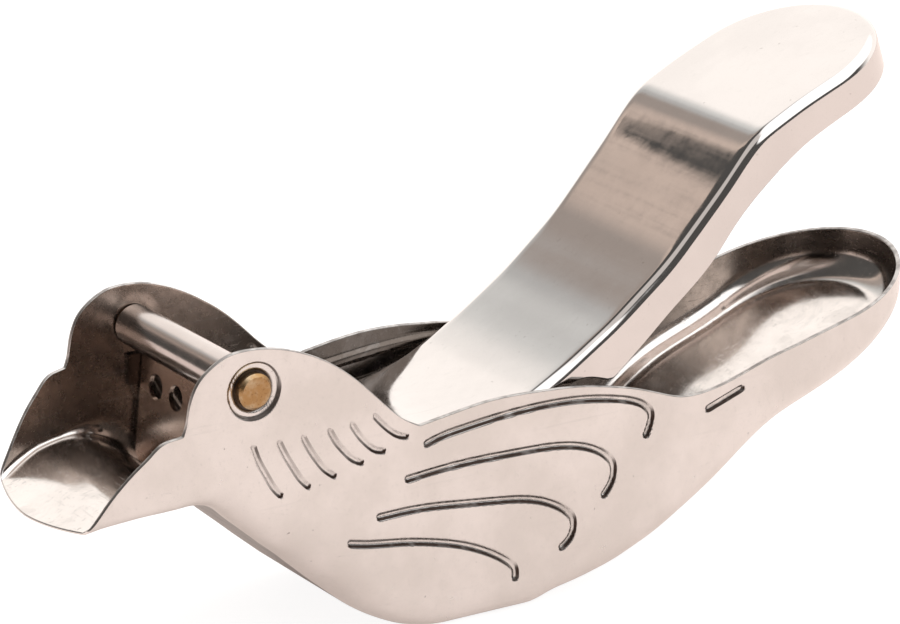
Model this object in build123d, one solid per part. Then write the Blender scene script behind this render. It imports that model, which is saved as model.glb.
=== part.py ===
from build123d import *
import os
import math

os.makedirs("parts", exist_ok=True)

# Hand citrus squeezer in the shape of a bird, all sizes in mm.
# +X runs from the beak to the tail, +Z is up, the side walls face -Y and +Y.
# The origin is the centre of the flat under the belly that the squeezer rests on.
# Everything is drawn about the pivot axis and moved into this frame at the end.

# ---- driving dimensions -------------------------------------------------
body_width = 42.0               # over the two side walls
half_width = body_width / 2
sheet = 0.8                     # drawn body sheet
floor_radius = 5.0              # outside bend between floor and walls
tail_end_x = 143.6              # outside of the tail end
rest_x0, rest_x1 = 39.0, 55.0   # flat under the belly
pivot_x = -(rest_x0 + rest_x1) / 2   # pivot axis in the part frame
pivot_z = 50.4

beak_slope = 0.41               # half width gained per mm at the front of the beak
blank_front_x = -52.0           # front of the trough block before the lip is cut
lip_half = 16.2                 # half width at the lip
lip_x = -28.0                   # corners of the lip
lip_bulge = 3.6                 # how far the lip runs out past its corners
lip_power = 1.7                 # shape of the bulge

eye_ring_d = 9.8                # stepped dimple round the eye
eye_step = 0.5
eye_relief_d = 7.2
eye_relief_depth = 0.4
eye_back_margin = 0.5           # added to the dimple radius on the inside

feather_width = 1.7
feather_depth = 0.6
neck_line_width = 1.1
neck_line_depth = 0.45
tail_line_width = 1.7
ridge_extra_width = 0.8         # a line is this much wider on the inside

pin_d = 6.2
pin_length = 43.8
pin_chamfer = 0.5
sleeve_od = 7.4
sleeve_id = 6.3
sleeve_length = 39.0
sleeve_chamfer = 0.15

plate_thickness = 0.8
plate_top = (1.7, -4.7)         # XZ ends of the leaning plate
plate_low = (-0.6, -26.6)
plate_hole_d = 4.6
plate_hole_pitch = 6.9
plate_hole_count = 5
plate_hole_z = -9.75
ear_length, ear_thickness, ear_height = 3.0, 0.7, 5.4
ear_x, ear_z = 0.15, -8.0
dimple_clearance = 0.05         # between the plate and the back of the eye dimples

lever_width = 36.0              # at the foot
lever_flare = 1.1               # wider by this much on each side at the handle
lever_sheet = 1.0
lever_edge_radius = 1.9
handle_tilt = 18.0              # slope of the handle end in degrees
handle_end_x, handle_end_z = 136.8, 40.6
# along the handle slope, from the handle end
outline_back, flare_start, flare_end = -200.0, -90.0, -35.0
flare_steps = 8

cut_span = 60.0                 # length in Y of tools that pass through both walls
disc_length = 4.0               # tools for the eye dimples

# ---- profiles: (x, z) from the pivot axis --------------------------------
# underside of the trough, beak to belly flat
belly_front = [
    (-60.0, -26.4), (-50.0, -25.2), (-40.0, -23.8), (-34.0, -22.9), (-27.8, -22.0), (-21.8, -21.12),
    (-16.0, -20.34), (-12.5, -19.97), (-9.6, -19.86), (-7.0, -20.52), (-4.0, -22.65), (-1.2, -25.06),
    (2.5, -28.4), (6.3, -32.09), (10.2, -35.78), (14.0, -39.07), (17.9, -42.13), (21.8, -44.96),
    (25.8, -47.06), (29.8, -48.58), (34.0, -49.76),
]
# underside of the trough, belly flat to tail
belly_rear = [
    (60.0, -49.25), (64.6, -48.35), (68.8, -47.42), (73.0, -46.27), (77.2, -44.67), (81.5, -42.82),
    (86.0, -40.35), (90.5, -37.68), (95.5, -34.4), (100.6, -30.63), (107.1, -26.55), (113.6, -23.94),
    (120.2, -21.39), (126.8, -18.29), (134.0, -15.09), (143.0, -11.99), (150.0, -9.99),
]
# upper cut line of the walls: beak, head, then wing and tail
beak_edge = [
    (-28.2, -20.4), (-27.38, -19.09), (-26.52, -17.76), (-25.19, -15.72), (-22.93, -12.64),
    (-20.79, -10.2), (-18.78, -8.2), (-17.43, -6.84), (-16.07, -6.07), (-14.7, -5.77),
    (-13.15, -5.53),
]
head_edge = [
    (-13.15, -5.53), (-12.47, -3.5), (-12.05, -1.11), (-11.44, 0.98), (-10.38, 3.05), (-8.82, 4.66),
    (-6.8, 6.0), (-4.8, 6.85), (-2.4, 7.2), (0.2, 7.15), (3.1, 6.8), (6.8, 5.8),
    (10.6, 4.3), (14.4, 2.25), (18.3, -0.6), (22.1, -4.1), (26.0, -8.0), (29.0, -10.5),
    (31.9, -12.1),
]
wing_edge = [
    (31.9, -12.1), (35.8, -11.55), (40.5, -10.9), (45.8, -10.35), (51.9, -10.35), (58.0, -10.7),
    (64.2, -11.25), (70.4, -12.45), (76.7, -14.1), (82.5, -16.2), (85.6, -17.1), (89.4, -17.25),
    (93.7, -16.65), (99.0, -15.2), (105.0, -13.4), (110.0, -12.25), (115.0, -11.03), (120.0, -9.79),
    (125.0, -8.48), (130.0, -7.09), (135.0, -5.59), (140.0, -3.96), (143.5, -2.72), (150.0, -0.3),
]
# top of the pressed lever, knuckle to handle end
lever_top = [
    (1.5, -1.6), (6.0, -4.1), (12.0, -7.2), (22.0, -11.6), (31.0, -14.8), (37.5, -16.2),
    (42.6, -16.45), (48.4, -15.55), (54.0, -13.6), (58.8, -11.2), (63.58, -8.49), (68.92, -5.05),
    (73.84, -1.7), (78.73, 2.16), (83.72, 6.33), (88.8, 11.51), (92.42, 15.45), (95.96, 19.39),
    (98.92, 22.91), (100.91, 25.12), (103.1, 27.03), (106.8, 29.13), (111.3, 31.33), (117.6, 34.03),
    (122.3, 35.93), (127.0, 37.73), (131.8, 39.53), (137.3, 41.43), (145.3, 43.93),
]
# lower edge of the lever flange, knuckle to its lobe, then lobe to handle end
flange_front = [
    (1.5, -3.4), (6.0, -6.4), (12.0, -9.9), (22.0, -14.7), (32.0, -18.3), (38.0, -19.5),
    (42.6, -19.7), (48.4, -18.8), (54.0, -16.9), (58.8, -14.5), (62.2, -12.8), (64.0, -11.9),
    (65.8, -11.35), (67.9, -11.25), (69.9, -11.7), (71.8, -12.35),
]
flange_rear = [
    (73.0, -12.3), (79.4, -6.8), (84.6, -2.1), (89.7, 2.2), (93.8, 6.3), (97.0, 10.4),
    (100.4, 14.2), (104.4, 17.8), (109.0, 21.4), (113.0, 24.0), (118.0, 26.5), (123.0, 28.7),
    (128.0, 30.6), (134.0, 32.8), (147.0, 37.4),
]
# beak seen from above, lip to head: (x, half width)
beak_plan = [
    (-28.2, 16.2), (-25.0, 17.5), (-22.3, 18.63), (-19.85, 19.5), (-17.8, 20.05), (-15.0, 20.55),
    (-11.0, 20.93), (-7.0, 21.0),
]

# centre lines pressed into the side walls, (x, z) from the pivot axis
feathers = [
    [(33.3, -15.5), (35.8, -14.8), (39.8, -14.2), (47.9, -13.4), (56.0, -13.1), (64.2, -13.5),
     (68.3, -14.1), (72.5, -15.0), (75.9, -16.1), (78.0, -17.4), (79.0, -19.0), (78.9, -20.5),
     (78.1, -22.6)],
    [(29.5, -21.1), (35.8, -20.6), (43.9, -20.4), (52.0, -20.6), (60.1, -21.1), (63.7, -21.8),
     (66.8, -22.9), (69.3, -24.4), (70.9, -26.2), (71.3, -28.1), (70.8, -30.0), (69.4, -31.9)],
    [(23.9, -26.8), (31.8, -26.8), (39.8, -27.6), (47.9, -28.6), (56.1, -30.3), (59.2, -31.7),
     (61.5, -33.3), (62.8, -35.0), (63.0, -36.9), (62.2, -38.6), (60.7, -39.8)],
    [(18.2, -30.4), (21.9, -31.2), (27.9, -32.1), (35.8, -33.8), (39.8, -35.0), (43.9, -36.7),
     (46.9, -38.3), (49.5, -40.1), (50.9, -41.7), (51.1, -43.4)],
]
neck_lines = [
    [(-0.3, -9.8), (0.5, -12.1), (2.0, -15.0), (3.5, -17.6), (4.7, -19.0)],
    [(4.6, -9.9), (5.7, -12.2), (7.2, -14.8), (8.7, -17.1), (10.0, -18.5)],
    [(9.2, -9.9), (10.3, -12.0), (11.8, -14.3), (13.4, -16.3), (15.0, -17.6)],
    [(14.3, -9.7), (15.5, -11.8), (17.2, -13.9), (18.8, -15.5), (20.3, -16.3)],
    [(18.6, -9.4), (20.1, -11.7), (21.8, -13.6), (23.2, -14.7), (24.6, -15.1)],
    [(23.1, -8.7), (24.6, -10.4), (26.3, -12.0), (27.8, -13.0), (29.1, -13.4)],
]
tail_line = [(91.4, -20.3), (98.2, -18.0)]


# ---- helpers ---------------------------------------------------------------
def xz(points):
    return [Vector(x, 0, z) for x, z in points]


def offset_points(points, amount):
    """parallel points, to the left of the direction of travel"""
    moved = []
    for i, (x, z) in enumerate(points):
        x0, z0 = points[max(i - 1, 0)]
        x1, z1 = points[min(i + 1, len(points) - 1)]
        length = math.hypot(x1 - x0, z1 - z0)
        moved.append((x - amount * (z1 - z0) / length, z + amount * (x1 - x0) / length))
    return moved


def across_walls(face):
    """extrude an XZ face through both walls"""
    return extrude(Pos(0, -cut_span / 2, 0) * face, cut_span, dir=(0, 1, 0))


def cross_cylinder(diameter, length):
    """cylinder along Y on the pivot axis"""
    return Rot(90, 0, 0) * Cylinder(diameter / 2, length)


def eye_disc(side, diameter, start):
    """disc on the pivot axis, outwards from the distance start on one side"""
    return Pos(0, side * (start + disc_length / 2), 0) * cross_cylinder(diameter, disc_length)


def both_sides(shape):
    return [shape, mirror(shape, Plane.XZ)]


def largest(shape):
    return shape.solids().sort_by(SortBy.VOLUME)[-1]


def bend_edges(block, is_floor, is_wall):
    """edges where a floor face meets a wall face, judged by the normals at mid-edge"""
    found = []
    for edge in block.edges():
        middle = edge @ 0.5
        normals = [f.normal_at(middle) for f in block.faces() if f.distance_to(middle) < 1e-4]
        if any(is_floor(n) for n in normals) and any(is_wall(n, middle) for n in normals):
            found.append(edge)
    return found


# ---- body shell ----------------------------------------------------------
def trough_plan(inset):
    """plan outline: closing beak, straight walls, half-round tail"""
    half = half_width - inset
    tail_centre_x = tail_end_x - half_width
    lip_plan_x, lip_plan_half = beak_plan[0]
    front_half = lip_plan_half - beak_slope * (lip_plan_x - blank_front_x) - inset
    beak = [Vector(x, inset - width, 0) for x, width in beak_plan]
    front_wall = Line(Vector(blank_front_x, -front_half, 0), beak[0])
    beak_wall = Spline(beak, tangents=[Vector(1, -beak_slope, 0), Vector(1, 0, 0)])
    side_wall = Line(beak[-1], Vector(tail_centre_x, -half, 0))
    tail = ThreePointArc(Vector(tail_centre_x, -half, 0), Vector(tail_centre_x + half, 0, 0),
                         Vector(tail_centre_x, half, 0))
    mirrored = [mirror(edge, Plane.XZ) for edge in (side_wall, beak_wall, front_wall)]
    close = Line(Vector(blank_front_x, front_half, 0), Vector(blank_front_x, -front_half, 0))
    return make_face([front_wall, beak_wall, side_wall, tail, *mirrored, close])


def trough_side(inset):
    """XZ region above the underside curve"""
    top_z = 30
    front = offset_points(belly_front, inset)
    rear = offset_points(belly_rear, inset)
    floor_z = -pivot_z + inset
    rest = [(rest_x0, floor_z), (rest_x1, floor_z)]
    front_curve = Spline(xz(front + rest[:1]), tangents=[Vector(1, 0, -0.1), Vector(1, 0, 0)],
                         tangent_scalars=[1, 1])
    flat = Line(*xz(rest))
    rear_curve = Spline(xz(rest[1:] + rear), tangents=[Vector(1, 0, 0), Vector(1, 0, 0.3)],
                        tangent_scalars=[1, 1])
    start, end = front[0], rear[-1]
    frame = Polyline(xz([end, (end[0], top_z), (start[0], top_z), start]))
    return make_face([front_curve, flat, rear_curve] + list(frame.edges()))


def trough_block(inset):
    """solid block of the trough, inset by a sheet thickness for the hollow"""
    prism = extrude(Pos(0, 0, -70) * trough_plan(inset), 110, dir=(0, 0, 1))
    block = (prism & across_walls(trough_side(inset))).solids()[0]
    edges = bend_edges(
        block,
        lambda n: n.Z < -0.25,
        lambda n, middle: (abs(n.Z) < 1e-3 and (abs(n.Y) > 0.05 or n.X > 0.5)
                           and middle.X > blank_front_x + 1))
    return fillet(edges, floor_radius - inset)


def line_face(points, width):
    """line of constant width with round ends, in a flat (x, z) sketch"""
    flat = [Vector(x, z, 0) for x, z in points]
    straight = len(flat) == 2
    centre = Edge.make_line(*flat) if straight else Edge.make_spline(flat)
    steps = 1 if straight else max(6, 2 * len(flat) - 2)
    left, right = [], []
    for i in range(steps + 1):
        place, run = centre.position_at(i / steps), centre.tangent_at(i / steps)
        across = Vector(-run.Y, run.X, 0) * (width / 2)
        left.append(place + across)
        right.append(place - across)
    start = centre.position_at(0) - centre.tangent_at(0) * (width / 2)
    end = centre.position_at(1) + centre.tangent_at(1) * (width / 2)
    left_edge, right_edge = [Line(*side) if straight else Spline(side) for side in (left, right)]
    return make_face([left_edge, ThreePointArc(left[-1], end, right[-1]),
                      right_edge, ThreePointArc(right[0], start, left[0])])


def wall_slab(face, y0, y1):
    """stand a flat (x, z) face up and give it thickness from y0 to y1"""
    return extrude(Pos(0, y1, 0) * (Plane.XZ * face), y1 - y0, dir=(0, -1, 0))


def wall_tools():
    """cutters for the outside (grooves) and for the hollow (ridges)"""
    grooves, ridges = [], []
    lines = ([(points, feather_width, feather_depth) for points in feathers]
             + [(points, neck_line_width, neck_line_depth) for points in neck_lines]
             + [(tail_line, tail_line_width, feather_depth)])
    outside = half_width + 1.0
    for points, width, depth in lines:
        ridge_face = line_face(points, width + ridge_extra_width)
        ridges += both_sides(wall_slab(ridge_face, half_width - sheet - depth, outside))
        grooves += both_sides(wall_slab(line_face(points, width), half_width - depth, outside))
    # eyes: dimples stepped inwards with a relief round the pin
    step_y = half_width - eye_step
    for side in (-1, 1):
        grooves.append(eye_disc(side, eye_ring_d, step_y))
        grooves.append(eye_disc(side, eye_relief_d, step_y - eye_relief_depth))
        ridges.append(eye_disc(side, eye_ring_d + 2 * eye_back_margin, step_y - sheet))
    return grooves, ridges


def above_walls():
    """everything above the cut line of the walls"""
    front, front_z, rear, top = -70, -20.3, 160, 45
    edges = [Line(*xz([(front, front_z), beak_edge[0]])),
             Spline(xz(beak_edge)), Spline(xz(head_edge)), Spline(xz(wing_edge))]
    end = wing_edge[-1]
    frame = Polyline(xz([end, (rear, end[1]), (rear, top), (front, top), (front, front_z)]))
    return across_walls(make_face(edges + list(frame.edges())))


def ahead_of_lip():
    """everything in front of the rounded lip; the curve runs on past both corners"""
    front, side = -80, 30
    lip = []
    for i in range(-11, 12):
        x = lip_x - lip_bulge * (1 - abs(i / 10) ** lip_power)
        lip.append(Vector(x, lip_half * i / 10, 0))
    frame = Polyline([lip[-1], Vector(lip[-1].X, side, 0), Vector(front, side, 0),
                      Vector(front, -side, 0), Vector(lip[0].X, -side, 0), lip[0]])
    face = make_face([Spline(lip)] + list(frame.edges()))
    return extrude(Pos(0, 0, -60) * face, 100, dir=(0, 0, 1))


def make_body_shell():
    # pressed lines sink into the outside and stand out on the inside
    grooves, ridges = wall_tools()
    outer = trough_block(0.0)
    inner = trough_block(sheet)
    for tool in grooves:
        outer = outer - tool
    for tool in ridges:
        inner = inner - tool
    shell = outer - inner
    shell = shell - cross_cylinder(pin_d, cut_span)
    shell -= above_walls()
    shell -= ahead_of_lip()
    return shell


# ---- pivot pin and sleeve ------------------------------------------------
def make_pin():
    pin = cross_cylinder(pin_d, pin_length)
    return chamfer(pin.edges().filter_by(GeomType.CIRCLE), pin_chamfer)


def make_sleeve():
    tube = Cylinder(sleeve_od / 2, sleeve_length) - Cylinder(sleeve_id / 2, sleeve_length + 2)
    sleeve = Rot(90, 0, 0) * tube
    return chamfer(sleeve.edges().filter_by(GeomType.CIRCLE), sleeve_chamfer)


# ---- strainer plate --------------------------------------------------------
def make_strainer_plate():
    """leaning plate that follows the floor bends, with an ear at each wall"""
    (top_x, top_z), (low_x, low_z) = plate_top, plate_low
    run, rise = top_x - low_x, top_z - low_z
    lean = math.degrees(math.atan2(run, rise))
    plate = (Pos((top_x + low_x) / 2, 0, (top_z + low_z) / 2) * Rot(0, lean, 0)
             * Box(plate_thickness, body_width, math.hypot(run, rise)))
    hole_x = top_x + (plate_hole_z - top_z) * run / rise
    for i in range(plate_hole_count):
        y = (i - (plate_hole_count - 1) / 2) * plate_hole_pitch
        plate -= Pos(hole_x, y, plate_hole_z) * Rot(0, 90 + lean, 0) * Cylinder(plate_hole_d / 2, 6)
    for side in (-1, 1):
        ear_y = side * (half_width - sheet - ear_thickness / 2)
        plate += Pos(ear_x, ear_y, ear_z) * Box(ear_length, ear_thickness, ear_height)
    plate = largest(plate & trough_block(sheet))
    # clear the foremost pressed-in neck line
    clear = wall_slab(line_face(neck_lines[0], neck_line_width + ridge_extra_width),
                      half_width - sheet - neck_line_depth, half_width)
    for tool in both_sides(clear):
        plate = plate - tool
    # clear the back of the eye dimples
    clear_d = eye_ring_d + 2 * (eye_back_margin + dimple_clearance)
    for side in (-1, 1):
        plate = plate - eye_disc(side, clear_d, half_width - sheet - eye_step - dimple_clearance)
    return plate


# ---- lever -----------------------------------------------------------------
def lever_side(inset):
    """XZ region under the lever top: down to the flange edge, or far below for the hollow"""
    top = offset_points(lever_top, -inset)
    edges = [Spline(xz(top))]
    if inset == 0:
        edges += [Line(*xz([top[-1], flange_rear[-1]])),
                  Spline(xz(flange_rear[::-1])),
                  Line(*xz([flange_rear[0], flange_front[-1]])),
                  Spline(xz(flange_front[::-1])),
                  Line(*xz([flange_front[0], top[0]]))]
    else:
        edges += list(Polyline(xz([top[-1], (170, -60), (-30, -60), top[0]])).edges())
    return make_face(edges)


def lever_outline(inset):
    """outline seen square to the handle: flared sides and a rounded end"""
    foot = lever_width / 2
    end_r = foot + lever_flare
    flare = []
    for i in range(flare_steps + 1):
        s = i / flare_steps
        flare.append((flare_start + (flare_end - flare_start) * s,
                      inset - foot - lever_flare * s * s * (3 - 2 * s)))
    foot_side = Line((outline_back, inset - foot), (flare_start, inset - foot))
    flare_side = Spline(flare, tangents=[(1, 0), (1, 0)])
    handle_side = Line((flare_end, inset - end_r), (-end_r, inset - end_r))
    end = ThreePointArc((-end_r, inset - end_r), (-inset, 0), (-end_r, end_r - inset))
    mirrored = [mirror(edge, Plane.XZ) for edge in (handle_side, flare_side, foot_side)]
    back = Line((outline_back, foot - inset), (outline_back, inset - foot))
    return make_face([foot_side, flare_side, handle_side, end, *mirrored, back])


def lever_block(inset):
    slab = across_walls(lever_side(inset))
    tilt = math.radians(handle_tilt)
    handle = Plane(origin=(handle_end_x, 0, handle_end_z),
                   x_dir=(math.cos(tilt), 0, math.sin(tilt)),
                   z_dir=(-math.sin(tilt), 0, math.cos(tilt)))
    outline = handle * (Pos(0, 0, -120) * lever_outline(inset))
    block = largest(slab & extrude(outline, 240, dir=handle.z_dir))
    edges = bend_edges(
        block,
        lambda n: n.Z > 0.25 and abs(n.Y) < 0.05,
        lambda n, middle: (abs(n.Y) > 0.9
                           or (abs(n.dot(handle.z_dir)) < 1e-3 and middle.X > 100)))
    return fillet(edges, lever_edge_radius - inset)


def make_lever():
    lever = lever_block(0.0) - lever_block(lever_sheet)
    return largest(lever - cross_cylinder(sleeve_od, cut_span))


pieces = {
    "body_shell": make_body_shell(),
    "strainer_plate": make_strainer_plate(),
    "lever": make_lever(),
    "pivot_sleeve": make_sleeve(),
    "pivot_pin": make_pin(),
}
for name, shape in pieces.items():
    solids = (Pos(pivot_x, 0, pivot_z) * shape).solids()
    piece = solids[0] if len(solids) == 1 else Compound(children=list(solids))
    piece.label = name
    export_step(piece, f"parts/{name}.step")
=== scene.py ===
"""Bird-shaped citrus squeezer of pressed steel, on a pale floor in a studio.

The beak points to -X and the tail to +X, the side walls face -Y and +Y, and Z is up.
Profiles are in mm from the pivot axis, which runs along Y through the bird's eye.
"Near" is the -Y side, where the camera stands; "far" is +Y. The scene is in metres.
"""
import math

import bmesh
import bpy
import numpy as np
from mathutils import Matrix, Vector


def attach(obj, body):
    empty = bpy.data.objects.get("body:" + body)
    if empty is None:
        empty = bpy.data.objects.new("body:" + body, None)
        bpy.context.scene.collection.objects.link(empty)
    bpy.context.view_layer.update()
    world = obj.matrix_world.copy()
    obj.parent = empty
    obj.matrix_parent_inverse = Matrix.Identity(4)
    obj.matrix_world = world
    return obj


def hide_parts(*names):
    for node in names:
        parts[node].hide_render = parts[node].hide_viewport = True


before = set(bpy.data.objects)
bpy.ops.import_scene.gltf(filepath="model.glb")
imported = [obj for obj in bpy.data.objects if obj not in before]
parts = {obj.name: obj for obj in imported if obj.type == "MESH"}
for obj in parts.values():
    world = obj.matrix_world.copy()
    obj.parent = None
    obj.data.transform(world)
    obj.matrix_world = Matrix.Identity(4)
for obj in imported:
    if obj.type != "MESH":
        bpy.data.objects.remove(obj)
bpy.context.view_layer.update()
scene = bpy.context.scene

# ---- sizes, mm ---------------------------------------------------------------
PIVOT = np.array([-47.0, 0.0, 50.4])        # pivot axis in the part frame
MIRROR_Y, MIRROR_Z = np.array([1, -1, 1]), np.array([1, 1, -1])
ROUND = 0.13                                # rounding of the cut edges

BODY_HALF, BODY_SHEET = 21.0, 0.8           # half width and sheet thickness
TAIL_X = 122.6                              # centre of the round tail end
BEND_R = 5.0                                # bend between wall and floor, along the trough
BEAK_BEND_R, MAX_BEND_R = 1.8, 12.0
BEAK_X = -26.0                              # ahead of this the stations fan out to the lip
LIP_X, LIP_BULGE = -28.0, 3.6               # the front lip curves forward of its corners
PRESS_Y = 14.5                              # pressed lines only reach the sheet beyond this

LEVER_HALF, LEVER_FLARE = 18.0, 1.1         # half width, and what the handle adds to it
LEVER_SHEET, LEVER_BEND_R = 1.0, 1.9
HANDLE_HALF = LEVER_HALF + LEVER_FLARE
HANDLE_X, HANDLE_Z, HANDLE_TILT = 136.8, 40.6, math.radians(18.0)
HANDLE_COS, HANDLE_SIN = math.cos(HANDLE_TILT), math.sin(HANDLE_TILT)
LEAN_X, LEAN_RUN = 98.0, 20.0               # where the flanges begin to lean with the handle
FLARE_U, FLARE_RUN = -90.0, 55.0            # where the flare begins, along the handle

EYE_R, EYE_STEP = 4.9, 0.5
EYE_RELIEF_R, EYE_RELIEF = 3.6, 0.4         # second, smaller step inside the eye
FEATHER_W, FEATHER_D = 1.25, 0.6            # width and depth of the pressed lines
STROKE_W, STROKE_D = 0.95, 0.4
SLOT_W = 1.35

# ---- outlines: (x, z) unless noted ---------------------------------------------
# underside of the trough, beak to the flat part it stands on
BOTTOM_FRONT = [
    (-60.0, -26.4), (-50.0, -25.2), (-40.0, -23.8), (-34.0, -22.9), (-27.8, -22.0),
    (-21.8, -21.12), (-16.0, -20.34), (-12.5, -19.97), (-9.6, -19.86), (-7.0, -20.52),
    (-4.0, -22.65), (-1.2, -25.06), (2.5, -28.4), (6.3, -32.09), (10.2, -35.78), (14.0, -39.07),
    (17.9, -42.13), (21.8, -44.96), (25.8, -47.06), (29.8, -48.58), (34.0, -49.76),
    (39.0, -PIVOT[2]),
]
# underside, flat part to tail
BOTTOM_BACK = [
    (55.0, -PIVOT[2]),
    (60.0, -49.25), (64.6, -48.35), (68.8, -47.42), (73.0, -46.27), (77.2, -44.67),
    (81.5, -42.82), (86.0, -40.35), (90.5, -37.68), (95.5, -34.4), (100.6, -30.63),
    (107.1, -26.55), (113.6, -23.94), (120.2, -21.39), (126.8, -18.29), (134.0, -15.09),
    (143.0, -11.99), (150.0, -9.99),
]
# upper cut line of the walls: beak, head, wing and tail
BEAK_EDGE = [
    (-28.2, -20.4), (-27.38, -19.09), (-26.52, -17.76), (-25.19, -15.72), (-22.93, -12.64),
    (-20.79, -10.2), (-18.78, -8.2), (-17.43, -6.84), (-16.07, -6.07), (-14.7, -5.77),
    (-13.15, -5.53),
]
HEAD_EDGE = [
    (-13.15, -5.53), (-12.47, -3.5), (-12.05, -1.11), (-11.44, 0.98), (-10.38, 3.05),
    (-8.82, 4.66), (-6.8, 6.0), (-4.8, 6.85), (-2.4, 7.2), (0.2, 7.15), (3.1, 6.8), (6.8, 5.8),
    (10.6, 4.3), (14.4, 2.25), (18.3, -0.6), (22.1, -4.1), (26.0, -8.0), (29.0, -10.5),
    (31.9, -12.1),
]
WING_EDGE = [
    (31.9, -12.1), (35.8, -11.55), (40.5, -10.9), (45.8, -10.35), (51.9, -10.35), (58.0, -10.7),
    (64.2, -11.25), (70.4, -12.45), (76.7, -14.1), (82.5, -16.2), (85.6, -17.1), (89.4, -17.25),
    (93.7, -16.65), (99.0, -15.2), (105.0, -13.4), (110.0, -12.25), (115.0, -11.03),
    (120.0, -9.79), (125.0, -8.48), (130.0, -7.09), (135.0, -5.59), (140.0, -3.96),
    (143.5, -2.72), (150.0, -0.3),
]
# (x, dz): how the far wall's cut line differs from the near one, behind the head
FAR_TRIM = [(2, 0), (8, -0.35), (14, -0.8), (24, -0.85), (28, -0.5), (31, 0), (34, 0.6),
            (40, 0.7), (54, 0.55), (66, 0)]
# (x, half width) of the beak seen from above, lip to head
BEAK_PLAN = [
    (-28.2, 16.2), (-25.0, 17.5), (-22.3, 18.63), (-19.85, 19.5), (-17.8, 20.05),
    (-15.0, 20.55), (-11.0, 20.93), (-7.0, 21.0),
]
# (x, radius) of the bend between wall and floor
BEND_RADII = [
    (-60, 1.8), (-20, 1.8), (-12, 2.2), (-6, 4.4), (-2.5, 4.95), (3, 5.0), (7, 6.4), (12, 8.3),
    (18, 8.4), (25, 6.6), (32, 5.3), (40, BEND_R), (200, BEND_R),
]
# (x, dz) added to the underside
LIFTS = [
    (-60, 0.2), (-31, 0.3), (-26, 1.2), (-20, 1.9), (-12, 1.7), (-8, 0.7), (-3, 0.15), (3, 0.2),
    (7, 0.8), (12, 1.0), (18, 0.6), (24, 0.1), (30, -0.3), (38, 0.0), (200, 0.0),
]
# top of the lever, knuckle to handle end
LEVER_TOP = [
    (1.5, -1.6), (6.0, -4.1), (12.0, -7.2), (22.0, -11.6), (31.0, -14.8), (37.5, -16.2),
    (42.6, -16.45), (48.4, -15.55), (54.0, -13.6), (58.8, -11.2), (63.58, -8.49), (68.92, -5.05),
    (73.84, -1.7), (78.73, 2.16), (83.72, 6.33), (88.8, 11.51), (92.42, 15.45), (95.96, 19.39),
    (98.92, 22.91), (100.91, 25.12), (103.1, 27.03), (106.8, 29.13), (111.3, 31.33),
    (117.6, 34.03), (122.3, 35.93), (127.0, 37.73), (131.8, 39.53), (137.3, 41.43),
    (145.3, 43.93),
]
# lower edge of the lever flanges, knuckle to the corner, then corner to handle end
FLANGE_FRONT = [
    (1.5, -3.4), (6.0, -6.4), (12.0, -9.9), (22.0, -14.7), (32.0, -18.3), (38.0, -19.5),
    (42.6, -19.7), (48.4, -18.8), (54.0, -16.9), (58.8, -14.5), (62.2, -12.8), (64.0, -11.9),
    (65.8, -11.35), (67.9, -11.25), (69.9, -11.7), (71.8, -12.35),
]
FLANGE_BACK = [
    (73.0, -12.3), (79.4, -6.8), (84.6, -2.1), (89.7, 2.2), (93.8, 6.3), (97.0, 10.4),
    (100.4, 14.2), (104.4, 17.8), (109.0, 21.4), (113.0, 24.0), (118.0, 26.5), (123.0, 28.7),
    (128.0, 30.6), (134.0, 32.8), (147.0, 37.4),
]
# lines pressed into both side walls
FEATHERS = [
    [(33.3, -15.5), (35.8, -14.8), (39.8, -14.2), (47.9, -13.4), (56.0, -13.1), (64.2, -13.5),
     (68.3, -14.1), (72.5, -15.0), (75.9, -16.1), (78.0, -17.4), (79.0, -19.0), (78.9, -20.5),
     (78.1, -22.6)],
    [(29.5, -21.1), (35.8, -20.6), (43.9, -20.4), (52.0, -20.6), (60.1, -21.1), (63.7, -21.8),
     (66.8, -22.9), (69.3, -24.4), (70.9, -26.2), (71.3, -28.1), (70.8, -30.0), (69.4, -31.9)],
    [(23.9, -26.8), (31.8, -26.8), (39.8, -27.6), (47.9, -28.6), (56.1, -30.3), (59.2, -31.7),
     (61.5, -33.3), (62.8, -35.0), (63.0, -36.9), (62.2, -38.6), (60.7, -39.8)],
    [(18.2, -30.4), (21.9, -31.2), (27.9, -32.1), (35.8, -33.8), (39.8, -35.0), (43.9, -36.7),
     (46.9, -38.3), (49.5, -40.1), (50.9, -41.7), (51.1, -43.4)],
]
NECK_STROKES = [
    [(-0.3, -9.8), (0.5, -12.1), (2.0, -15.0), (3.5, -17.6), (4.7, -19.0)],
    [(4.6, -9.9), (5.7, -12.2), (7.2, -14.8), (8.7, -17.1), (10.0, -18.5)],
    [(9.2, -9.9), (10.3, -12.0), (11.8, -14.3), (13.4, -16.3), (15.0, -17.6)],
    [(14.3, -9.7), (15.5, -11.8), (17.2, -13.9), (18.8, -15.5), (20.3, -16.3)],
    [(18.6, -9.4), (20.1, -11.7), (21.8, -13.6), (23.2, -14.7), (24.6, -15.1)],
    [(23.1, -8.7), (24.6, -10.4), (26.3, -12.0), (27.8, -13.0), (29.1, -13.4)],
]
TAIL_SLOT = [(91.4, -20.3), (98.2, -18.0)]
LINES = ([(feather, FEATHER_W, FEATHER_D) for feather in FEATHERS]
         + [(stroke, STROKE_W, STROKE_D) for stroke in NECK_STROKES]
         + [(TAIL_SLOT, SLOT_W, FEATHER_D)])


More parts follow.
